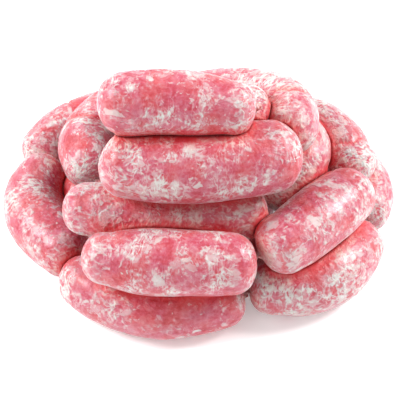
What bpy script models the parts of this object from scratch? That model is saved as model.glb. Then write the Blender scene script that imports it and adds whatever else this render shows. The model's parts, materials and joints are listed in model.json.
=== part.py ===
"""A string of raw pork sausage links, heaped as it is laid down.

One casing runs through the whole string. It is filled, twisted shut and filled again, so every
link is a plump bent roll with a round nose at each end, and a thin twisted neck joins it to the
next link. The heap is built up from the ground: a core and a ring of links on the ground, a
second layer on those, then the links on top. Links press on each other, and each gives way by
half, so that their touching sides are flattened.
"""
import math

import bmesh
import bpy
import numpy as np

MM = 0.001
COLLECTION_NAME = "sausage_string"

# Driving dimensions, in millimetres
LINK_RADIUS = 14.8        # a link of middling thickness
END_TAPER = 0.07          # share of its radius that a link loses from the middle to a nose
TWIST_PULL = 0.8          # how far a nose's tip moves towards its twist: 0 not at all, 1 all the way
POLE_PULL = 0.3           # the same for the last ring of the nose's mesh, kept even by a small turn
NOSE_BLUNTNESS = 0.8      # power of the nose's outline: 1 is a half ball, less is blunter
CONTACT_GAP = 0.8         # between two links that press on each other
GROUND_SINK = 0.6         # how much a link that lies on the ground is flattened underneath
NECK_RADIUS = 1.7         # the twisted casing between two links, at its waist
NECK_FLARE = 1.25         # how much wider it is where it runs into a link
NECK_GAP = 0.85           # between the neck and the tip of a link
NECK_REACH = 0.35         # how far a neck runs straight out of a tip, as a share of its span
TAIL_LENGTH = 7.0         # the twisted-off casing at each end of the string
TAIL_RADII = (1.5, 1.0, 1.3)

# How finely a link and a neck are divided
SIDES = 14
NOSE_RINGS = 4
BODY_RINGS = 6
AXIS_SAMPLES = 48
SHORT_NECK = 10.0         # a neck with a shorter span than this has fewer rings
SHORT_NECK_SHARES = (0.0, 0.25, 0.5, 0.75, 1.0)
LONG_NECK_SHARES = (0.0, 0.14, 0.38, 0.62, 0.86, 1.0)
GIVE_WAY_STEPS = 18

# Height of the middle of a link that lies on the ground
GROUND = LINK_RADIUS - GROUND_SINK


def link(radius, start, bow, end, twist, slim=(END_TAPER, END_TAPER)):
    """One link: the middles of its first nose, its body and its last nose, the twist after it,
    and the share of its radius that it loses towards each nose."""
    return {"radius": radius, "start": start, "bow": bow, "end": end, "twist": twist, "slim": slim}


# The route of the string, link by link, from the end in front to the end on top.
TAIL_START = (-47, -31, 36)
ROUTE = [
    # the second layer: front, right, back right, inner right, inner front, left and back
    link(16.0, (-42.5, -45, 43.5), (-18, -47, 43.5), (11.6, -48, 43.5), (27, -36.5, 37.5), slim=(0.2, 0.05)),
    link(16.0, (41.8, -34, 44), (56, -20, 44), (70, -5, 43), (78, 9, 41)),
    link(14.0, (75, 26, 40), (65, 45, 41), (51, 57, 37), (38, 55, 46)),
    link(13.4, (50, 30, 52), (50.7, 15.5, 50), (41, 4.5, 42.5), (31, -8, 39)),
    link(14.4, (19, -17, 46), (-17, -18, 46), (-52, -15, 46), (-46, 5, 35)),
    link(15.0, (-55.5, 25, 41), (-56, 41, 40), (-49, 57, 40), (-38, 72, 41)),
    link(14.6, (-23, 70, 41), (-3, 68, 41), (18, 66, 41), (42, 78, 34)),
    # round the outside on the ground: back, left, front and right
    link(14.8, (36, 92, 15), (9, 100, GROUND), (-19, 97, GROUND), (-35, 94, 14)),
    link(14.6, (-50, 89, 14), (-68.5, 76.5, 14), (-80, 62.5, 14), (-83.5, 47, 18.3)),
    link(15.7, (-82, 31.5, 20.5), (-83.5, 13, 15.2), (-69, -10.5, 14.6), (-51, -18, 11), slim=(0.17, 0.1)),
    link(14.3, (-55, -34, 13.7), (-25, -49.5, 13.7), (8.5, -46.2, 13.7), (24.2, -39.7, 12.5)),
    link(16.0, (38.4, -36, 15.4), (61, -31, 15.4), (76, -13, 15.4), (85, 4, 14)),
    link(14.5, (85, 20, 14), (83, 40, 14), (67, 67, 14), (53.5, 67, 13)),
    # the core, which carries the middle of the heap
    link(14.8, (36, 52, GROUND), (1, 56, GROUND), (-44, 52, GROUND), (-61, 45, 14)),
    link(14.8, (-57, 27, GROUND), (-12, 19, GROUND), (24, 17, GROUND), (40, 1, 14)),
    link(14.8, (22, -13, GROUND), (-4, -15, GROUND), (-36, -12, GROUND), (-36, 2, 28)),
    link(14.8, (-24, 10, 42), (-6, 10, 45), (14, 12, 46), (31, 12, 60)),
    # on top: back right, the one across the back, the highest, and the large one in front
    link(14.5, (44, 13, 76), (35, 37, 70), (5, 49, 62), (-24, 52, 57)),
    link(13.6, (-30, 38, 63), (1, 24, 74), (20.5, 14.5, 84), (26, 6, 93.5)),
    link(15.4, (13, -5, 103), (-9.5, -3.5, 104.8), (-32, -4, 105), (-35, 14, 88), slim=(0.17, 0.03)),
    link(18.3, (-31, -17, 77), (0, -16, 77), (30, -11, 77), (36, -2, 60), slim=(0.14, 0.04)),
]

PINK_MEAT = (0.66, 0.17, 0.19)
PALE_CASING = (0.76, 0.52, 0.48)


def unit(vector):
    return vector / np.linalg.norm(vector)


def bowed_axis(start, bow, end, share):
    """Points of the curve from start through bow to end, at the given shares of its run."""
    pull = 2.0 * bow - 0.5 * (start + end)
    t = np.asarray(share)[:, None]
    return (1 - t) ** 2 * start + 2 * t * (1 - t) * pull + t ** 2 * end


def body_radius(radius, slim, share):
    """The radius along a link's body: full in the middle, a little less at each nose."""
    side = 2.0 * np.asarray(share) - 1.0
    return radius * (1.0 - np.where(side < 0.0, *slim) * side ** 2)


def blunt_reach(cosine):
    """How far a blunt nose stands out, next to a half ball, in a direction off its pole."""
    power = 2.0 / NOSE_BLUNTNESS
    sine = math.sqrt(max(0.0, 1.0 - cosine ** 2))
    return (cosine ** power + sine ** power) ** (-1.0 / power)


class Link:
    """A link as worked out from its line in the route, before it is pressed by its neighbours."""

    def __init__(self, line, twist_before):
        self.start, self.bow, self.end = (np.array(line[key], float) for key in ("start", "bow", "end"))
        self.radius, self.slim = line["radius"], line["slim"]
        self.twist_before = np.array(twist_before, float)
        self.twist_after = np.array(line["twist"], float)
        share = np.linspace(0.0, 1.0, AXIS_SAMPLES)
        self.axis = bowed_axis(self.start, self.bow, self.end, share)
        self.axis_radius = body_radius(self.radius, self.slim, share)

    def depth(self, points):
        """How far each point is outside this link; inside it the value is negative."""
        away = np.linalg.norm(points[:, None, :] - self.axis[None, :, :], axis=2)
        return (away - self.axis_radius[None, :]).min(axis=1)

    def nose(self, at_start, pull):
        """A nose's middle, its outward direction, its tip's direction after the pull, its radius."""
        if at_start:
            middle, outward, twist = self.start, self.axis[0] - self.axis[1], self.twist_before
            radius = self.axis_radius[0]
        else:
            middle, outward, twist = self.end, self.axis[-1] - self.axis[-2], self.twist_after
            radius = self.axis_radius[-1]
        outward = unit(outward)
        return middle, outward, unit((1 - pull) * outward + pull * unit(twist - middle)), radius

    def tip(self, at_start):
        """Where the casing is twisted shut on a nose, and the way it leaves."""
        middle, _, pole, radius = self.nose(at_start, POLE_PULL)
        way = self.nose(at_start, TWIST_PULL)[2]
        return middle, middle + radius * blunt_reach(way @ pole) * way, way

    def nose_rings(self, at_start):
        """The rings of one nose, as (middle of the nose, middle, direction, radius), tip first."""
        middle, outward, pole, radius = self.nose(at_start, POLE_PULL)
        rings = []
        for k in range(NOSE_RINGS):
            lean = 0.5 * math.pi * k / NOSE_RINGS
            way = unit(outward + math.cos(lean) * (pole - outward))
            place = middle + radius * math.cos(lean) ** NOSE_BLUNTNESS * way
            ring_radius = radius * math.sin(lean) ** NOSE_BLUNTNESS
            rings.append((middle, place, -way if at_start else way, ring_radius))
        return rings

    def stations(self):
        """All the rings that shape the link, from tip to tip; the first and last are points."""
        share = np.linspace(0.0, 1.0, BODY_RINGS + 1)
        places = bowed_axis(self.start, self.bow, self.end, share)
        ways = np.gradient(places, axis=0)
        radii = body_radius(self.radius, self.slim, share)
        body = [(place, place, unit(way), radius) for place, way, radius in zip(places, ways, radii)]
        return self.nose_rings(True) + body + self.nose_rings(False)[::-1]


def ring_point(middle, heading, radius, turn):
    """A point on a ring; the middle of one of its sides faces straight down."""
    side = unit(np.cross(heading, (0.0, 0.0, 1.0)))
    up = np.cross(side, heading)
    return middle + radius * (math.sin(turn) * side - math.cos(turn) * up)


def give_way(points, middles, own, others):
    """Draw points in towards the link's middle until its neighbours have their half of the room."""
    low, high = np.zeros(len(points)), np.ones(len(points))

    def has_room(share):
        tried = middles + share[:, None] * (points - middles)
        nearest = np.min([other.depth(tried) for other in others], axis=0)
        return nearest - own.depth(tried) >= CONTACT_GAP

    free = has_room(high)
    for _ in range(GIVE_WAY_STEPS):
        half = 0.5 * (low + high)
        room = has_room(half)
        low = np.where(room, half, low)
        high = np.where(room, high, half)
    share = np.where(free, 1.0, low)
    settled = middles + share[:, None] * (points - middles)
    settled[:, 2] = np.maximum(settled[:, 2], 0.0)
    return settled


def build_link(name, own, others, material):
    """Reshape a sphere into the link: each of its rings goes to one station of the link."""
    stations = own.stations()
    last = len(stations) - 1
    shape = bmesh.new()
    bmesh.ops.create_uvsphere(shape, u_segments=SIDES, v_segments=last, radius=1.0)
    points, middles = [], []
    for vertex in shape.verts:
        polar = math.acos(max(-1.0, min(1.0, vertex.co.z)))
        turn = math.atan2(vertex.co.y, vertex.co.x)
        middle, place, way, radius = stations[round(polar / math.pi * last)]
        points.append(ring_point(place, way, radius, turn))
        middles.append(middle)
    settled = give_way(np.array(points), np.array(middles), own, others)
    for vertex, place in zip(shape.verts, settled):
        vertex.co = place * MM
    mesh = bpy.data.meshes.new(name)
    shape.to_mesh(mesh)
    shape.free()
    mesh.shade_smooth()
    mesh.materials.append(material)
    return bpy.data.objects.new(name, mesh)


def settled_tip(own, others, at_start):
    """The tip of a nose after its neighbours have pressed on it, and the way the neck leaves."""
    middle, tip, way = own.tip(at_start)
    return give_way(tip[None, :], middle[None, :], own, others)[0], way


def build_neck(name, points, radii, material):
    """A twisted neck of casing: a thin tube through the points, with closed ends."""
    curve = bpy.data.curves.new(name, "CURVE")
    curve.dimensions = "3D"
    curve.bevel_depth = NECK_RADIUS * MM
    curve.bevel_resolution = 2
    curve.use_fill_caps = True
    curve.materials.append(material)
    spline = curve.splines.new("POLY")
    spline.points.add(len(points) - 1)
    for knot, point, radius in zip(spline.points, points, radii):
        knot.co = (*(np.array(point) * MM), 1.0)
        knot.radius = radius
    return bpy.data.objects.new(name, curve)


def neck_between(tip_a, way_a, tip_b, way_b):
    """Points of the neck and its radius factors there. It leaves one link's tip straight, bends,
    and enters the next one's; its waist is thinnest, and both ends run out wider."""
    first = tip_a + NECK_GAP * way_a
    last = tip_b + NECK_GAP * way_b
    span = np.linalg.norm(last - first)
    shares = np.array(SHORT_NECK_SHARES if span < SHORT_NECK else LONG_NECK_SHARES)
    leaving = first + NECK_REACH * span * way_a
    entering = last + NECK_REACH * span * way_b
    t = shares[:, None]
    points = ((1 - t) ** 3 * first + 3 * t * (1 - t) ** 2 * leaving
              + 3 * t ** 2 * (1 - t) * entering + t ** 3 * last)
    return points, 1.0 + (NECK_FLARE - 1.0) * (2.0 * shares - 1.0) ** 2


def principled(name, colour, roughness):
    material = bpy.data.materials.new(name)
    material.use_nodes = True
    shader = material.node_tree.nodes["Principled BSDF"]
    shader.inputs["Base Color"].default_value = (*colour, 1.0)
    shader.inputs["Roughness"].default_value = roughness
    shader.inputs["Metallic"].default_value = 0.0
    return material


def footprint_middle(pieces):
    """The middle of the pieces' footprint, in metres."""
    corners = np.array([vertex.co for piece in pieces for vertex in piece.data.vertices])
    return 0.5 * (corners.min(axis=0) + corners.max(axis=0))


def main():
    for leftover in list(bpy.data.objects):
        bpy.data.objects.remove(leftover)
    collection = bpy.data.collections.new(COLLECTION_NAME)
    bpy.context.scene.collection.children.link(collection)
    meat = principled("raw_pork_in_casing", PINK_MEAT, 0.35)
    casing = principled("twisted_casing", PALE_CASING, 0.4)

    twists = [TAIL_START] + [line["twist"] for line in ROUTE]
    links = [Link(line, before) for line, before in zip(ROUTE, twists)]
    pieces, tips = [], []
    for number, own in enumerate(links, start=1):
        others = [other for other in links if other is not own]
        pieces.append(build_link(f"link_{number:02d}", own, others, meat))
        tips.append([settled_tip(own, others, at_start) for at_start in (True, False)])
    middle = footprint_middle(pieces)

    for number, (before, after) in enumerate(zip(tips, tips[1:]), start=1):
        points, radii = neck_between(*before[1], *after[0])
        pieces.append(build_neck(f"twist_{number:02d}", points, radii, casing))
    for name, (tip, way) in (("tail_start", tips[0][0]), ("tail_end", tips[-1][1])):
        points = [tip + (NECK_GAP + TAIL_LENGTH * share) * way for share in (0.0, 0.5, 1.0)]
        pieces.append(build_neck(name, points, TAIL_RADII, casing))

    # the origin is under the middle of the heap
    heap = bpy.data.objects.new("heap", None)
    collection.objects.link(heap)
    heap.location = (-middle[0], -middle[1], 0.0)
    for piece in pieces:
        collection.objects.link(piece)
        piece.parent = heap


main()
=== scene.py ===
"""The looks of a string of raw pork sausage links, heaped as it is laid down.

Every link of the frame is read as rings, and a fine skin is drawn through them. The skins swell
until they press on each other, get the soft lumps of the coarse meat under the casing, are
gathered into pleats round the necks and are folded where a link bends sharply. The necks are
twisted cords of casing, made by Geometry Nodes along the lines of the frame's own necks.
"""
import json
import math

import bmesh
import bpy
import numpy as np
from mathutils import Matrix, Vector, noise
from mathutils.bvhtree import BVHTree

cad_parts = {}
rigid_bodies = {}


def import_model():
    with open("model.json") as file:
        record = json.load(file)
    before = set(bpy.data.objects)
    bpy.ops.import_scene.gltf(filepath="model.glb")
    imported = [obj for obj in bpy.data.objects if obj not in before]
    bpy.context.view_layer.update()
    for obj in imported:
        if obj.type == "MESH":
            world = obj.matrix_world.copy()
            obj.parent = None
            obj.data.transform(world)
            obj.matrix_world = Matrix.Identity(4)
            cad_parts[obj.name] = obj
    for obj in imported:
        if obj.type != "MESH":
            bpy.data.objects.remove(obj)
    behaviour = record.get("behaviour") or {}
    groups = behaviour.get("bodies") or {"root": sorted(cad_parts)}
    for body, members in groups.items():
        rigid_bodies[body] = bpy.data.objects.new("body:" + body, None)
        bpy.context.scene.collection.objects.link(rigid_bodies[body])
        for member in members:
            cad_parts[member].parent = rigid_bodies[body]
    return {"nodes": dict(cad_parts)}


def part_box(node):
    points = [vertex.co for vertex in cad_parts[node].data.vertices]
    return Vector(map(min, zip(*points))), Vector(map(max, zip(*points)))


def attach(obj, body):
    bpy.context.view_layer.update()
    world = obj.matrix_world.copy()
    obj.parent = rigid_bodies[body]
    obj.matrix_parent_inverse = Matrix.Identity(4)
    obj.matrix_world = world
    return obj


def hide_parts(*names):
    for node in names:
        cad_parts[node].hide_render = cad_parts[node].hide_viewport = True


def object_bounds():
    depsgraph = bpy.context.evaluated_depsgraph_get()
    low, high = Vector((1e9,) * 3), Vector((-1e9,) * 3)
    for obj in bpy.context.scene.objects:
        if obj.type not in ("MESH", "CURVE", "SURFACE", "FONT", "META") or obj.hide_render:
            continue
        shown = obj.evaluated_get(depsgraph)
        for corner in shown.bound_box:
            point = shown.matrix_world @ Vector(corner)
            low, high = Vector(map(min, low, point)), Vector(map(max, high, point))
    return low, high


MM = 0.001
WELD = 0.00001             # metres
CAP_ANGLE = 0.5            # degrees between the triangles of one flat cap, at the most

# The skin of a link, in millimetres
ROUND_STEPS = 8            # points between two of the frame's points, round the link
SKIN_SPACING = 0.85        # between two rings of points, along the link
CONTACT_GAP = 0.12         # left between two skins that press on each other
CONTACT_REACH = 3.0        # a skin starts to swell towards a neighbour from this far away
CONTACT_FULL = 0.4         # share of that reach at which it has swelled all the way
CREASE_SHADE_REACH = 13.0        # painted shade: the meat is painted deeper red where a neighbour is closer than this
SWELL = 0.6                # how far a skin with no neighbour stands out before it gets its lumps
LUMPS = ((20.0, 0.95), (8.5, 0.45), (3.6, 0.16))   # wavelength and depth of the lumps
PLEATS = 11                # folds round a neck
PLEAT_DEPTH = 0.45
PLEAT_REACH = 8.5          # from the neck to where the pleats have run out
PLEAT_FULL = 0.2           # share of that reach up to which they are deepest
PLEAT_ZERO = (0.3, 0.5, 0.8)   # sets where the turn round a neck is counted from
PLEAT_WANDER = 0.9         # how far a pleat strays to the side, in radians
PLEAT_WAVE = 6.0           # length of its wander
LUMP_OFFSET = 50.0         # sets the lumps of one link apart from those of the next

# Folds across the links that bend sharply: the link, and the share of its length at the fold
BEND_FOLDS = ((3, 0.28), (6, 0.52), (9, 0.46), (18, 0.30))
FOLD_DEPTH = 1.0
FOLD_WIDTH = 1.3
FOLD_STRAY = 4.0           # how far a fold strays along the link
FOLD_WAVE = 9.0            # length of its wander
FOLD_SHADE = 0.88        # how strong the painted shade in a fold is, next to that at a contact
FOLD_SHADE_WIDTH = 1.6       # width of the fold's painted shade, next to the fold's own width

# The twisted necks
CORD_LOBES = 3
CORD_LOBE_DEPTH = 0.34     # of its radius
CORD_SIDES = 24
CORD_PITCH = 9.0           # mm for one full turn
CORD_SPACING = 0.35        # mm between two rings of points
CORD_ENTRY = 1.1           # mm that a cord runs on past the ends of its solid, towards the links
CORD_WAIST = 1.6           # mm, its radius where it is thinnest
CORD_FLARE = 1.0           # mm that it is thicker at its ends
CORD_KNOTS = 25            # points on its line

# How fatty each link is, from lean to fat, in the string's order; links that lie in shade have more
# pale fat, a painted fill light
FAT_AND_FILL_LIGHT_SHARES = (0.52, 0.58, 0.86, 0.98, 0.76, 0.50, 0.54, 0.50, 0.54, 0.57, 0.44,
              0.82, 0.80, 0.48, 0.48, 0.48, 0.50, 0.86, 1.00, 0.55, 0.55)
END_FAT = 0.28             # added to a link's share at its ends
END_REACH = 24.0           # mm from an end to where that has run out
PATTERN_OFFSET = 300.0     # mm, sets the pattern of one link apart from that of the next

# The camera, in metres and degrees
AIM = Vector((0.0003, -0.0258, 0.045))
CAMERA_DISTANCE = 0.75
CAMERA_ELEVATION = 45.0
CAMERA_LENS = 138.4
CAMERA_SHIFT = -0.025

# The room: each panel's place in metres, its width in metres and its power in watts
PANELS = {"left_panel": ((-0.75, -0.05, 0.6), 0.4, 8.5),
          "back_panel": ((-0.5, 0.75, 0.5), 0.5, 2.5),
          "right_panel": ((0.75, 0.15, 0.65), 0.4, 10.5)}
ROOM_LIGHT = 0.74
FLOOR_HALF = 4.0           # metres from the middle to a side
FLOOR_GLOW = 0.25

# Where a Mix node keeps its share, its two colours and their blend
MIX_SHARE, MIX_FIRST, MIX_SECOND, MIX_BLEND = 0, 6, 7, 2


# ---------------------------------------------------------------- shader maths

class Wire:
    """One output of a finish's nodes. Arithmetic on it adds Math nodes."""

    def __init__(self, finish, socket):
        self.finish = finish
        self.socket = socket

    def maths(self, operation, *values):
        return self.finish.add("ShaderNodeMath", {"operation": operation}, dict(enumerate(values)))

    def __add__(self, other):
        return self.maths("ADD", self, other)

    __radd__ = __add__

    def __sub__(self, other):
        return self.maths("SUBTRACT", self, other)

    def __rsub__(self, other):
        return self.maths("SUBTRACT", other, self)

    def __mul__(self, other):
        return self.maths("MULTIPLY", self, other)

    __rmul__ = __mul__

    def __abs__(self):
        return self.maths("ABSOLUTE", self)

    def most(self, other):
        return self.maths("MAXIMUM", self, other)

    def step(self, low, high):
        """0 below low, 1 above high and smooth in between; it falls where low is above high."""
        sockets = {"Value": self, "From Min": low, "From Max": high}
        return self.finish.add("ShaderNodeMapRange", {"interpolation_type": "SMOOTHSTEP"}, sockets)


class Finish:
    """A material whose nodes are added one by one."""

    def __init__(self, name):
        self.material = bpy.data.materials.new(name)
        self.material.use_nodes = True
        self.nodes = self.material.node_tree.nodes
        self.links = self.material.node_tree.links
        self.shader = self.nodes["Principled BSDF"]

    def add(self, kind, settings=None, sockets=None, output=0):
        """Adds a node: its settings first, then the values or wires of its sockets."""
        node = self.nodes.new(kind)
        for name, value in (settings or {}).items():
            setattr(node, name, value)
        for name, value in (sockets or {}).items():
            self.feed(node.inputs[name], value)
        return Wire(self, node.outputs[output])

    def feed(self, socket, value):
        if isinstance(value, Wire):
            self.links.new(value.socket, socket)
        else:
            socket.default_value = value

    def set(self, **values):
        """Feeds the surface shader; an underscore in a name stands for a space."""
        for name, value in values.items():
            self.feed(self.shader.inputs[name.replace("_", " ")], value)

    def blend(self, share, first, second):
        """A colour from first, at share 0, to second, at share 1."""
        sockets = {MIX_SHARE: share, MIX_FIRST: first, MIX_SECOND: second}
        return self.add("ShaderNodeMix", {"data_type": "RGBA"}, sockets, output=MIX_BLEND)

    def tinted(self, tone, tint):
        """A colour multiplied by a tint."""
        settings = {"data_type": "RGBA", "blend_type": "MULTIPLY"}
        sockets = {MIX_SHARE: 1.0, MIX_FIRST: tone, MIX_SECOND: tint}
        return self.add("ShaderNodeMix", settings, sockets, output=MIX_BLEND)

    def ramp(self, value, stops):
        """A colour read from stops, which are pairs of a place and a colour."""
        node = self.nodes.new("ShaderNodeValToRGB")
        while len(node.color_ramp.elements) < len(stops):
            node.color_ramp.elements.new(1.0)
        for element, (place, tone) in zip(node.color_ramp.elements, stops):
            element.position = place
            element.color = tone
        self.feed(node.inputs[0], value)
        return Wire(self, node.outputs[0])

    def attribute(self, name, output="Fac"):
        """What a mesh keeps at its points under this name."""
        return self.add("ShaderNodeAttribute", {"attribute_name": name}, output=output)

    def bump(self, height, strength, distance):
        sockets = {"Strength": strength, "Distance": distance, "Height": height}
        return self.add("ShaderNodeBump", None, sockets)

    def vector(self, operation, first, second):
        return self.add("ShaderNodeVectorMath", {"operation": operation}, {0: first, 1: second})

    def cloud(self, place, size, detail=2.0, roughness=0.5, output=0):
        """Noise with lumps of about the given size."""
        sockets = {"Vector": place, "Scale": 1.0 / size, "Detail": detail, "Roughness": roughness}
        return self.add("ShaderNodeTexNoise", None, sockets, output=output)

    def strayed(self, place, size, reach):
        """The place moved about at random by up to half of reach."""
        stray = self.vector("SUBTRACT", self.cloud(place, size, output="Color"), (0.5, 0.5, 0.5))
        return self.vector("ADD", place, self.vector("MULTIPLY", stray, (reach, reach, reach)))


def colour(red, green, blue):
    """A colour named by its screen values, 0 to 255."""
    def linear(value):
        value /= 255.0
        return value / 12.92 if value <= 0.04045 else ((value + 0.055) / 1.055) ** 2.4
    return (linear(red), linear(green), linear(blue), 1.0)


# ---------------------------------------------------------------- finishes

CASING_PALE = colour(200, 158, 154)
CASING_SHADED_PINK = colour(184, 108, 111)
# Painted shade: the deep red and the near black painted into the gaps between links
CREASE_SHADE_RED = colour(198, 40, 42)
CREASE_SHADE_DARK = colour(128, 9, 11)

# From lean meat to fat: how fatty, and the colour
MEAT_TONES = ((0.0, colour(166, 44, 54)), (0.18, colour(181, 73, 87)), (0.42, colour(187, 111, 122)),
              (0.70, colour(192, 161, 162)), (1.0, colour(200, 198, 194)))

# Tints: the lean meat is rosy in some places and warmer in others; SHADED is a painted shade that makes
# all redder in the gaps
WHITE = (1.0, 1.0, 1.0, 1.0)
ROSY = (0.98, 0.96, 1.09, 1.0)
WARM = (1.04, 1.0, 0.88, 1.0)
SHADED = (1.14, 0.74, 0.71, 1.0)

# Size of the fat pieces in mm, the share of them in lean and in fatty places, and how full they are
FAT_PIECES = ((8.0, 0.00, 0.34, 0.46), (5.0, 0.04, 0.32, 0.44),
              (2.8, 0.06, 0.34, 0.42), (1.5, 0.07, 0.22, 0.42))

# How the fat pieces are torn: size in mm of each wave of tearing, and how far it strays
TEARS = ((8.0, 8.0), (2.6, 3.4), (0.9, 1.0))

# Width in mm of the loops that the curls of fat make, and how thin the curls are
CURLS = ((5.5, 11.0), (3.4, 8.5))

# Size in mm of what varies over the meat
RICHNESS_SIZE = 15.0       # places with more fat and with less
HAZE_SIZE = 19.0           # a faint paleness
STRINGY_SIZE = 21.0        # places with streaks and without
WARMTH_SIZE = 11.0         # rosy and warm lean meat
SWIRL_SIZE = 4.0           # where the grinder smeared fat and lean together
MOTTLE_SIZE = 1.7          # specks in the lean meat
WET_SIZE = 6.0             # wetter and drier casing
KNOB_SIZE = 2.4            # bumps of single bits of meat under the casing
FINE_SIZE = 1.1            # the casing's own fine creases
GRAIN_SIZE = 0.0022        # metres, the folds of a twisted neck


def fat_pieces(finish, place, richness, swirl):
    """Coarsely cut fat against the casing: torn pieces of several sizes, some deeper in and fainter."""
    torn = place
    for size, reach in TEARS:
        torn = finish.strayed(torn, size, reach)
    mask = None
    for size, in_lean, in_fat, fullness in FAT_PIECES:
        sockets = {"Vector": torn, "Scale": 1.0 / size}
        near = finish.add("ShaderNodeTexVoronoi", None, sockets, output="Distance")
        cell = finish.add("ShaderNodeTexVoronoi", None, sockets, output="Color")
        draw = finish.add("ShaderNodeSeparateColor", None, {"Color": cell}, output="Red")
        depth = Wire(finish, draw.socket.node.outputs["Green"])
        chosen = (richness * in_fat + in_lean - draw).step(-0.02, 0.05)
        fading = near + (0.5 - swirl) * 0.5
        piece = chosen * fading.step(fullness + 0.18, fullness - 0.12) * (0.45 + depth * 0.55)
        mask = piece if mask is None else mask.most(piece)
    return mask


def curls(finish, place, richness):
    """Short curled strings of fat and sinew, in clusters where the meat is fatty."""
    bent = finish.strayed(place, 6.0, 7.0)
    mask = None
    for loop, thinness in CURLS:
        line = 1 - abs(finish.cloud(bent, loop, detail=1.0) - 0.5) * thinness
        broken = (finish.cloud(place, loop, detail=1.0) + richness * 0.14).step(0.54, 0.72)
        curl = line.step(0.0, 1.0) * broken
        mask = curl if mask is None else mask.most(curl)
    return mask


def streaks(finish, place):
    """Thin curved strings of fat and sinew that run round the link, in stringy places."""
    squeezed = finish.vector("MULTIPLY", finish.strayed(place, 11.0, 9.0), (0.42, 0.12, 0.12))
    ridge = 1 - abs(finish.cloud(squeezed, 1.0) - 0.5) * 13
    stringy = finish.cloud(place, STRINGY_SIZE, detail=1.0).step(0.42, 0.58)
    return ridge.step(0.0, 0.9) * stringy


def smeared_fat(finish, place, richness, swirl):
    """How fatty the meat looks between the pieces of fat."""
    haze = finish.cloud(place, HAZE_SIZE).step(0.4, 0.75)
    mottle = finish.cloud(place, MOTTLE_SIZE, detail=3.0, roughness=0.6) - 0.5
    smears = swirl.step(0.30, 0.74) * 0.22 + haze * 0.11 + mottle * 0.55
    smears = smears + richness * (0.06 + swirl.step(0.42, 0.62) * 0.21)
    return smears + streaks(finish, place) * (0.08 + richness * 0.42)


def meat_tone(finish, place, fattiness, crease):
    """The meat's colour by its fat, rosy or warm by its place, with painted shade, redder and darker,
    in the gaps and folds.
    """
    warmth = finish.cloud(place, WARMTH_SIZE).step(0.35, 0.65)
    tint = finish.blend(fattiness.step(0.2, 0.6), finish.blend(warmth, ROSY, WARM), WHITE)
    tone = finish.tinted(finish.ramp(fattiness, MEAT_TONES), tint)
    # Painted shade in the gaps: a redder tint, then deep red, then near black at a contact
    tone = finish.tinted(tone, finish.blend(crease.step(0.15, 0.9), WHITE, SHADED))
    tone = finish.blend(crease.step(0.74, 1.0) * 0.8, tone, CREASE_SHADE_RED)
    return finish.blend(crease.step(0.91, 0.995), tone, CREASE_SHADE_DARK)


def pork_finish():
    """Coarse pink pork with white fat, seen through a moist natural casing."""
    finish = Finish("pork_in_casing")
    place = finish.attribute("lie", output="Vector")
    share = finish.attribute("fat_share")
    gathered = finish.attribute("gathered")
    crease = finish.attribute("crease")

    # The share is real fat and painted fill light: links that lie in shade have more pale fat
    richness = (finish.cloud(place, RICHNESS_SIZE) + share * 0.4).step(0.58, 0.86)
    swirl = finish.cloud(finish.strayed(place, 6.0, 6.0), SWIRL_SIZE, detail=3.0, roughness=0.6)
    pieces = fat_pieces(finish, place, richness, swirl)
    curled = curls(finish, place, richness)
    fattiness = smeared_fat(finish, place, richness, swirl) + share * 0.12
    fattiness = fattiness + curled * (0.26 + richness * 0.16)
    fattiness = fattiness.most(pieces * (0.56 + swirl * 0.52))
    fattiness = fattiness.most(gathered * 0.6)

    fine = finish.cloud(place, FINE_SIZE, detail=3.0)
    knobs = finish.cloud(place, KNOB_SIZE)
    height = pieces * 0.4 + curled * 0.3 + swirl * 0.8 + knobs * 1.2 + fine * 0.4
    wet = finish.cloud(place, WET_SIZE, detail=3.0)
    finish.set(Base_Color=meat_tone(finish, place, fattiness, crease),
               Roughness=0.38 + wet * 0.22,
               Normal=finish.bump(height, 0.9, 0.0006),
               Coat_Weight=wet.step(0.3, 0.7) * crease.step(0.975, 0.72) * 0.75)
    finish.set(IOR=1.42, Coat_Roughness=0.27, Subsurface_Weight=0.45,
               Subsurface_Radius=(1.0, 0.32, 0.22), Subsurface_Scale=0.003,
               Sheen_Weight=0.3, Sheen_Roughness=0.3, Sheen_Tint=(1.0, 0.84, 0.82, 1.0))
    return finish.material


def casing_finish():
    """Casing twisted to a cord: pale, wet and nearly clear, with painted shade, a darker pink, in the
    hollows of its fine folds.
    """
    finish = Finish("twisted_casing")
    place = finish.add("ShaderNodeTexCoord", output="Object")
    fold_height = finish.cloud(place, GRAIN_SIZE, detail=3.0)
    # Painted shade: darker pink where the fine folds are low
    tone = finish.blend(fold_height.step(0.3, 0.7), CASING_SHADED_PINK, CASING_PALE)
    finish.set(Base_Color=tone, Roughness=0.3 + fold_height * 0.15, Normal=finish.bump(fold_height, 0.4, 0.0002))
    finish.set(IOR=1.42, Coat_Weight=0.3, Coat_Roughness=0.15, Subsurface_Weight=0.3,
               Subsurface_Radius=(1.0, 0.4, 0.3), Subsurface_Scale=0.002)
    return finish.material


# ---------------------------------------------------------------- reading the frame

def welded(node):
    """A copy of a node's mesh with its loose triangles joined."""
    shape = bmesh.new()
    shape.from_mesh(node.data)
    bmesh.ops.remove_doubles(shape, verts=shape.verts, dist=WELD)
    shape.verts.ensure_lookup_table()
    return shape


def layers_from(seed):
    """The vertices in layers by how many edges they are away from the seed ones."""
    seen, layers = set(seed), [list(seed)]
    while layers[-1]:
        beyond = []
        for vertex in layers[-1]:
            for edge in vertex.link_edges:
                other = edge.other_vert(vertex)
                if other not in seen:
                    seen.add(other)
                    beyond.append(other)
        layers.append(beyond)
    return layers[:-1]


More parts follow.
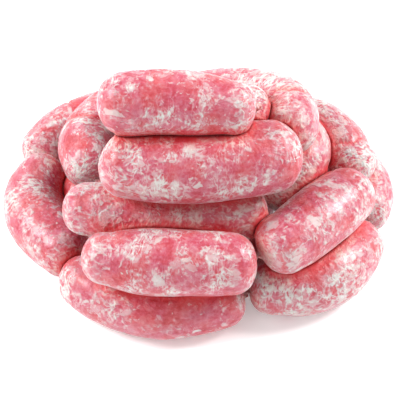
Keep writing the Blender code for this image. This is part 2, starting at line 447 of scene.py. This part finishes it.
def walk_round(layer):
    """The vertices of one closed ring, in order."""
    members, ordered = set(layer), [layer[0]]
    while len(ordered) < len(layer):
        nexts = [edge.other_vert(ordered[-1]) for edge in ordered[-1].link_edges]
        ordered.append(next(v for v in nexts if v in members and v not in ordered))
    return np.array([vertex.co for vertex in ordered]) / MM


def lined_up(ring, before):
    """The ring turned, and reversed if need be, so that its points follow those of the one before."""
    middle = ring.mean(axis=0) - before.mean(axis=0)
    tries = [np.roll(way, shift, axis=0) for way in (ring, ring[::-1]) for shift in range(len(ring))]
    return min(tries, key=lambda t: np.abs(t - middle - before).sum())


def read_link(node, start_near):
    """A link's two poles and its rings of points, in mm, from the pole nearest to start_near."""
    shape = welded(node)
    spokes = max(len(v.link_edges) for v in shape.verts)
    poles = sorted((v for v in shape.verts if len(v.link_edges) == spokes),
                   key=lambda v: (v.co / MM - start_near).length)
    layers = layers_from([poles[0]])
    rings = [walk_round(layers[1])]
    for layer in layers[2:-1]:
        rings.append(lined_up(walk_round(layer), rings[-1]))
    ends = [np.array(poles[0].co) / MM, np.array(layers[-1][0].co) / MM]
    shape.free()
    return ends, np.array(rings)


def read_cord(node):
    """The middles of a neck's rings, in mm, from one cap to the other."""
    shape = welded(node)
    flat = math.radians(CAP_ANGLE)
    bmesh.ops.dissolve_limit(shape, angle_limit=flat, verts=shape.verts, edges=shape.edges)
    cap = max(shape.faces, key=lambda face: len(face.verts))
    layers = layers_from(list(cap.verts))
    middles = np.array([np.mean([v.co for v in layer], axis=0) for layer in layers]) / MM
    shape.free()
    return middles


# ---------------------------------------------------------------- curves through points

def flowing(knots, times, at):
    """A smooth curve through knots at their times, read at other times between the second and the
    last but one."""
    upright = (-1, *([1] * (knots.ndim - 1)))
    span = np.diff(times)
    wide = span.reshape(upright)
    slope = np.diff(knots, axis=0) / wide
    tangent = (slope[:-1] * wide[1:] + slope[1:] * wide[:-1]) / (wide[:-1] + wide[1:])
    place = np.clip(np.searchsorted(times, at, side="right") - 1, 1, len(times) - 3)
    u = ((at - times[place]) / span[place]).reshape(upright)
    width = wide[place]
    before = (2 * u ** 3 - 3 * u ** 2 + 1) * knots[place] + (3 * u ** 2 - 2 * u ** 3) * knots[place + 1]
    leaving = (u ** 3 - 2 * u ** 2 + u) * width * tangent[place - 1]
    entering = (u ** 3 - u ** 2) * width * tangent[place]
    return before + leaving + entering


class Skin:
    """The fine skin of one link: rings of points, with the place of each point along and round it."""

    def __init__(self, number, node, start_near):
        self.number = number
        ends, rings = read_link(node, start_near)
        sides = rings.shape[1]
        steps = sides * ROUND_STEPS
        padded = np.concatenate([rings[:, -2:], rings, rings[:, :3]], axis=1)
        knots = np.arange(-2, sides + 3, dtype=float)
        turns = np.arange(steps) / ROUND_STEPS
        fine = flowing(np.swapaxes(padded, 0, 1), knots, turns)
        fine = np.swapaxes(fine, 0, 1)

        first, last = (np.repeat(end[None, None, :], steps, axis=1) for end in ends)
        opposite = np.roll(fine, steps // 2, axis=1)
        columns = np.concatenate([opposite[:1], first, fine, last, opposite[-1:]])
        stride = np.linalg.norm(np.diff(columns, axis=0), axis=2).mean(axis=1)
        along = np.concatenate([[0.0], np.cumsum(stride)]) - stride[0]
        self.length = along[-2]
        count = int(round(self.length / SKIN_SPACING))
        self.along = np.linspace(0.0, self.length, count + 1)[1:-1]
        self.rings = flowing(columns, along, self.along)
        self.ends = np.array(ends)
        self.turn = 2 * math.pi * turns / sides

    def points(self):
        return np.concatenate([self.ends[:1], self.rings.reshape(-1, 3), self.ends[1:]])

    def normals(self):
        """Outward normals of the ring points; the ends point away from the ring next to them."""
        along = np.gradient(self.rings, axis=0)
        around = np.roll(self.rings, -1, axis=1) - np.roll(self.rings, 1, axis=1)
        normal = np.cross(around, along)
        normal /= np.linalg.norm(normal, axis=2, keepdims=True)
        outward = self.rings - self.rings.mean(axis=1, keepdims=True)
        if (normal * outward).sum() < 0:
            normal = -normal
        tips = [self.ends[0] - self.rings[0].mean(axis=0), self.ends[1] - self.rings[-1].mean(axis=0)]
        tips = [tip / np.linalg.norm(tip) for tip in tips]
        return np.concatenate([tips[:1], normal.reshape(-1, 3), tips[1:]])

    def faces(self):
        """Quads between the rings, and triangles to the two ends."""
        count, steps = self.rings.shape[:2]
        grid = 1 + np.arange(count * steps).reshape(count, steps)
        after = np.roll(grid, -1, axis=1)
        quads = np.stack([grid[:-1], after[:-1], after[1:], grid[1:]], axis=-1).reshape(-1, 4)
        end = count * steps + 1
        fan = [(0, b, a) for a, b in zip(grid[0], after[0])]
        fan += [(end, a, b) for a, b in zip(grid[-1], after[-1])]
        return [tuple(map(int, face)) for face in quads] + [tuple(map(int, face)) for face in fan]

    def near_ends(self):
        """1 at the ends of the link, falling to 0 at END_REACH from them."""
        off = smooth(np.minimum(self.along, self.length - self.along), 0.0, END_REACH)
        return 1.0 - np.concatenate([[0.0], np.repeat(off, len(self.turn)), [0.0]])

    def lie(self):
        """Each point's place in the meat, as if the link were straight: along it, and across it."""
        offset = PATTERN_OFFSET * self.number
        middle = self.rings.mean(axis=1, keepdims=True)
        radius = np.linalg.norm(self.rings - middle, axis=2)
        along = np.repeat(self.along[:, None], len(self.turn), axis=1) + offset
        across = np.stack([along, radius * np.cos(self.turn), radius * np.sin(self.turn)], axis=-1)
        start, end = (offset, 0.0, 0.0), (offset + self.length, 0.0, 0.0)
        return np.concatenate([[start], across.reshape(-1, 3), [end]])


# ---------------------------------------------------------------- shaping the skins

def smooth(value, low, high):
    """0 below low, 1 above high and smooth in between."""
    share = np.clip((value - low) / (high - low), 0.0, 1.0)
    return share * share * (3 - 2 * share)


def lumpiness(places):
    """How far in the casing lies at each place, by the lumps of meat under it."""
    depth = np.zeros(len(places))
    for size, amount in LUMPS:
        depth += amount * np.array([0.5 - 0.5 * noise.noise(Vector(place / size)) for place in places])
    return depth


def room_to_others(skin, others, trees):
    """Each point's distance to the nearest other skin, up to the reach of the painted crease shade."""
    points = skin.points()
    room = np.full(len(points), CREASE_SHADE_REACH)
    for other, tree in zip(others, trees):
        if other is skin:
            continue
        spread = other.points()
        close = ((points > spread.min(axis=0) - CREASE_SHADE_REACH)
                 & (points < spread.max(axis=0) + CREASE_SHADE_REACH)).all(axis=1)
        for index in np.nonzero(close)[0]:
            found = tree.find_nearest(points[index], CREASE_SHADE_REACH)
            if found[0] is not None:
                room[index] = min(room[index], found[3])
    return room


def pleats(points, tip, way):
    """How deep the folds round one neck are at each point, and how close the neck is, 0 to 1."""
    away = points - tip
    side = np.cross(way, PLEAT_ZERO)
    side /= np.linalg.norm(side)
    other = np.cross(way, side)
    reach = np.linalg.norm(away, axis=1)
    angle = np.arctan2(away @ other, away @ side)
    wander = np.array([noise.noise(Vector(point / PLEAT_WAVE)) for point in points])
    fold = 0.5 + 0.5 * np.cos(PLEATS * (angle + PLEAT_WANDER * wander))
    close = 1.0 - smooth(reach, PLEAT_FULL * PLEAT_REACH, PLEAT_REACH)
    return PLEAT_DEPTH * fold * close, close


def bend_fold(skin, share, points):
    """How deep the fold across a bent link is at each point, and how close the fold is, 0 to 1, which
    sets its painted shade.
    """
    along = np.concatenate([[0.0], np.repeat(skin.along, len(skin.turn)), [skin.length]])
    wander = np.array([noise.noise(Vector(point / FOLD_WAVE)) for point in points])
    away = (along - share * skin.length + FOLD_STRAY * wander) / FOLD_WIDTH
    return FOLD_DEPTH * np.exp(-away ** 2), np.exp(-(away / FOLD_SHADE_WIDTH) ** 2)


def shape_skins(skins, necks, low, high):
    """The points of every skin, moved towards its neighbours and into lumps, pleats and folds, with
    how gathered the casing is and how much painted shade the meat gets at each point."""
    trees = [BVHTree.FromPolygons(skin.points(), skin.faces()) for skin in skins]
    rooms = [room_to_others(skin, skins, trees) for skin in skins]
    shaped = []
    for skin, room in zip(skins, rooms):
        points, normals = skin.points(), skin.normals()
        pressed = 1.0 - smooth(room, CONTACT_FULL * CONTACT_REACH, CONTACT_REACH)
        swell = pressed * (room - CONTACT_GAP) / 2 + (1.0 - pressed) * SWELL
        depth = lumpiness(points + LUMP_OFFSET * skin.number) * (1.0 - pressed)
        gathered = np.zeros(len(points))
        for tip, way in necks[skin.number]:
            folds, close = pleats(points, tip, way)
            depth += folds * (1.0 - pressed)
            gathered = np.maximum(gathered, close)
        # Painted shade, stronger where a neighbour is closer
        crease = 1.0 - smooth(room, 0.0, CREASE_SHADE_REACH)
        for number, share in BEND_FOLDS:
            if number == skin.number:
                fold, close = bend_fold(skin, share, points)
                depth += fold * (1.0 - pressed)
                # Painted shade in the fold
                crease = np.maximum(crease, FOLD_SHADE * close)
        points = points + normals * (swell - depth)[:, None]
        shaped.append((np.clip(points, low, high), gathered, crease))
    return shaped


def link_piece(skin, points, gathered, crease, fat_share, finish):
    """The mesh of one link, which keeps at its points what the finish reads."""
    mesh = bpy.data.meshes.new(f"skin_{skin.number:02d}")
    mesh.from_pydata((points * MM).tolist(), [], skin.faces())
    for name, kind, key, values in (
            ("lie", "FLOAT_VECTOR", "vector", skin.lie()),
            ("fat_share", "FLOAT", "value", fat_share + END_FAT * skin.near_ends()),
            ("gathered", "FLOAT", "value", gathered),
            ("crease", "FLOAT", "value", crease)):
        attribute = mesh.attributes.new(name, kind, "POINT")
        attribute.data.foreach_set(key, np.asarray(values, np.float32).ravel())
    turn_outwards(mesh)
    mesh.shade_smooth()
    mesh.materials.append(finish)
    piece = bpy.data.objects.new(f"skin_{skin.number:02d}", mesh)
    bpy.context.scene.collection.objects.link(piece)
    return piece


def turn_outwards(mesh):
    """Turns the faces that look into the link."""
    shape = bmesh.new()
    shape.from_mesh(mesh)
    bmesh.ops.recalc_face_normals(shape, faces=shape.faces)
    shape.to_mesh(mesh)
    shape.free()


# ---------------------------------------------------------------- twisted necks

def cord_tree(finish):
    """Geometry Nodes that wind a lobed cord round each line of a curve."""
    tree = bpy.data.node_groups.new("twisted_cord", "GeometryNodeTree")
    face = tree.interface
    face.new_socket("Geometry", in_out="INPUT", socket_type="NodeSocketGeometry")
    inputs = (("Lobes", "NodeSocketInt", CORD_LOBES),
              ("Lobe Depth", "NodeSocketFloat", CORD_LOBE_DEPTH),
              ("Pitch", "NodeSocketFloat", CORD_PITCH * MM),
              ("Spacing", "NodeSocketFloat", CORD_SPACING * MM))
    for name, kind, value in inputs:
        face.new_socket(name, in_out="INPUT", socket_type=kind).default_value = value
    face.new_socket("Geometry", in_out="OUTPUT", socket_type="NodeSocketGeometry")

    def add(kind, settings=None, sockets=None, output=0):
        node = tree.nodes.new(kind)
        for name, value in (settings or {}).items():
            setattr(node, name, value)
        for name, value in (sockets or {}).items():
            if isinstance(value, bpy.types.NodeSocket):
                tree.links.new(value, node.inputs[name])
            else:
                node.inputs[name].default_value = value
        return node.outputs[output]

    def maths(operation, *values):
        return add("ShaderNodeMath", {"operation": operation}, dict(enumerate(values)))

    given = tree.nodes.new("NodeGroupInput").outputs
    line = add("GeometryNodeResampleCurve", {"mode": "LENGTH"},
               {"Curve": given["Geometry"], "Length": given["Spacing"]})
    walked = add("GeometryNodeSplineParameter", output="Length")
    turned = maths("MULTIPLY", maths("DIVIDE", walked, given["Pitch"]), 2 * math.pi)
    line = add("GeometryNodeSetCurveTilt", None, {"Curve": line, "Tilt": turned})

    ring = add("GeometryNodeCurvePrimitiveCircle", {"mode": "RADIUS"},
               {"Resolution": CORD_SIDES, "Radius": 1.0})
    share = add("GeometryNodeSplineParameter", output="Factor")
    lobe = maths("COSINE", maths("MULTIPLY", maths("MULTIPLY", share, given["Lobes"]), 2 * math.pi))
    hollow = maths("MULTIPLY", given["Lobe Depth"], maths("MULTIPLY_ADD", lobe, 0.5, 0.5))
    swell = maths("SUBTRACT", 1.0, hollow)
    place = add("GeometryNodeInputPosition")
    lobed = add("ShaderNodeVectorMath", {"operation": "SCALE"}, {0: place, "Scale": swell})
    ring = add("GeometryNodeSetPosition", None, {"Geometry": ring, "Position": lobed})

    width = add("GeometryNodeInputRadius")
    cord = add("GeometryNodeCurveToMesh", None,
               {"Curve": line, "Profile Curve": ring, "Scale": width, "Fill Caps": True})
    cord = add("GeometryNodeSetShadeSmooth", None, {"Geometry": cord})
    cord = add("GeometryNodeRealizeInstances", None, {"Geometry": cord})
    cord = add("GeometryNodeSetMaterial", None, {"Geometry": cord, "Material": finish})
    tree.links.new(cord, tree.nodes.new("NodeGroupOutput").inputs[0])
    return tree


def cord_lines(lines):
    """One curve object with a line for each cord; each point has its own radius."""
    curve = bpy.data.curves.new("cord_lines", "CURVE")
    curve.dimensions = "3D"
    for points, radii in lines:
        spline = curve.splines.new("POLY")
        spline.points.add(len(points) - 1)
        for knot, point, radius in zip(spline.points, points, radii):
            knot.co = (*(point * MM), 1.0)
            knot.radius = radius * MM
    lines_object = bpy.data.objects.new("cord_lines", curve)
    bpy.context.scene.collection.objects.link(lines_object)
    return lines_object


def cords_piece(lines, finish):
    """All twisted necks in one mesh."""
    lines_object = cord_lines(lines)
    modifier = lines_object.modifiers.new("twisted_cord", "NODES")
    modifier.node_group = cord_tree(finish)
    graph = bpy.context.evaluated_depsgraph_get()
    mesh = bpy.data.meshes.new_from_object(lines_object.evaluated_get(graph))
    mesh.name = "twisted_casing"
    bpy.data.objects.remove(lines_object)
    piece = bpy.data.objects.new("twisted_casing", mesh)
    bpy.context.scene.collection.objects.link(piece)
    return piece


def cord_line(middles, into_start, into_end):
    """A cord's fine line and its radii: thick at its two ends, thin between."""
    before = middles[0] + CORD_ENTRY * into_start
    after = middles[-1] + CORD_ENTRY * into_end
    ahead = 2 * before - middles[0]
    beyond = 2 * after - middles[-1]
    knots = np.concatenate([[ahead, before], middles, [after, beyond]])
    stride = np.linalg.norm(np.diff(knots, axis=0), axis=1)
    times = np.concatenate([[0.0], np.cumsum(stride)])
    at = np.linspace(times[1], times[-2], CORD_KNOTS)
    share = np.linspace(-1.0, 1.0, CORD_KNOTS)
    return flowing(knots, times, at), CORD_WAIST + CORD_FLARE * share ** 4


# ---------------------------------------------------------------- the setting

def add_panel(name, place, size, power):
    """A round panel of white light that faces the heap."""
    lamp = bpy.data.lights.new(name, "AREA")
    lamp.shape = "DISK"
    lamp.size = size
    lamp.energy = power
    light = bpy.data.objects.new(name, lamp)
    light.location = place
    light.rotation_euler = (AIM - Vector(place)).to_track_quat("-Z", "Y").to_euler()
    bpy.context.scene.collection.objects.link(light)


def set_stage():
    """A pale floor in a white room, with soft light from the left, the back and the right."""
    scene = bpy.context.scene
    scene.view_settings.view_transform = "Standard"
    world = bpy.data.worlds.new("white_room")
    world.use_nodes = True
    background = world.node_tree.nodes["Background"]
    background.inputs["Color"].default_value = WHITE
    background.inputs["Strength"].default_value = ROOM_LIGHT
    scene.world = world
    for name, (place, size, power) in PANELS.items():
        add_panel(name, place, size, power)

    mesh = bpy.data.meshes.new("floor")
    corners = [(-1, -1), (1, -1), (1, 1), (-1, 1)]
    mesh.from_pydata([(x * FLOOR_HALF, y * FLOOR_HALF, 0.0) for x, y in corners], [], [(0, 1, 2, 3)])
    finish = Finish("pale_floor")
    finish.set(Base_Color=(0.9, 0.9, 0.9, 1.0), Roughness=0.7,
               Emission_Color=WHITE, Emission_Strength=FLOOR_GLOW)
    mesh.materials.append(finish.material)
    floor = bpy.data.objects.new("floor", mesh)
    scene.collection.objects.link(floor)


def set_camera():
    """A long lens that looks down on the heap."""
    camera = bpy.data.objects.new("camera", bpy.data.cameras.new("camera"))
    camera.data.lens = CAMERA_LENS
    camera.data.shift_y = CAMERA_SHIFT
    slope = math.radians(CAMERA_ELEVATION)
    camera.location = AIM + CAMERA_DISTANCE * Vector((0.0, -math.cos(slope), math.sin(slope)))
    camera.rotation_euler = (AIM - camera.location).to_track_quat("-Z", "Y").to_euler()
    bpy.context.scene.collection.objects.link(camera)
    bpy.context.scene.camera = camera


# ---------------------------------------------------------------- the heap

def read_necks(nodes, neck_names, skins):
    """Where and which way the necks leave each skin, by its number, and the line of every cord."""
    leaving = {skin.number: [] for skin in skins}
    lines = []
    for place, name in enumerate(neck_names):
        middles = read_cord(nodes[name])
        touching = skins[max(place - 1, 0):place + 1]
        gap = [np.linalg.norm(touching[0].points() - end, axis=1).min() for end in middles[[0, -1]]]
        if gap[0] > gap[1]:
            middles = middles[::-1]
        ways = [middles[1] - middles[0], middles[-2] - middles[-1]]
        ways = [way / np.linalg.norm(way) for way in ways]
        leaving[touching[0].number].append((middles[0], ways[0]))
        if len(touching) == 2:
            leaving[touching[1].number].append((middles[-1], ways[1]))
            lines.append(cord_line(middles, -ways[0], -ways[1]))
        else:
            # Known fault: a tail's free end has no direction, so its last knots fall on one point,
            # its line can't be worked out there, and no tail is drawn.
            lines.append(cord_line(middles, -ways[0], np.zeros(3)))
    return leaving, lines


def main():
    for leftover in list(bpy.data.objects):
        bpy.data.objects.remove(leftover)
    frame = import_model()
    low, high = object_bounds()
    nodes = frame["nodes"]
    pork, casing = pork_finish(), casing_finish()

    link_names = sorted(name for name in nodes if name.startswith("link_"))
    middle = {name: sum(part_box(name), Vector()) / 2 / MM for name in nodes}
    starts = ["tail_start"] + [f"twist_{i:02d}" for i in range(1, len(link_names))]
    skins = [Skin(i, nodes[name], middle[before])
             for i, (name, before) in enumerate(zip(link_names, starts), start=1)]
    leaving, lines = read_necks(nodes, [*starts, "tail_end"], skins)

    shaped = shape_skins(skins, leaving, np.array(low) / MM, np.array(high) / MM)
    for skin, name, shape, share in zip(skins, link_names, shaped, FAT_AND_FILL_LIGHT_SHARES):
        piece = link_piece(skin, *shape, share, pork)
        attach(piece, "root")
        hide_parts(name)
    cords = cords_piece(lines, casing)
    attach(cords, "root")
    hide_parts(*starts, "tail_end")

    set_stage()
    set_camera()


main()
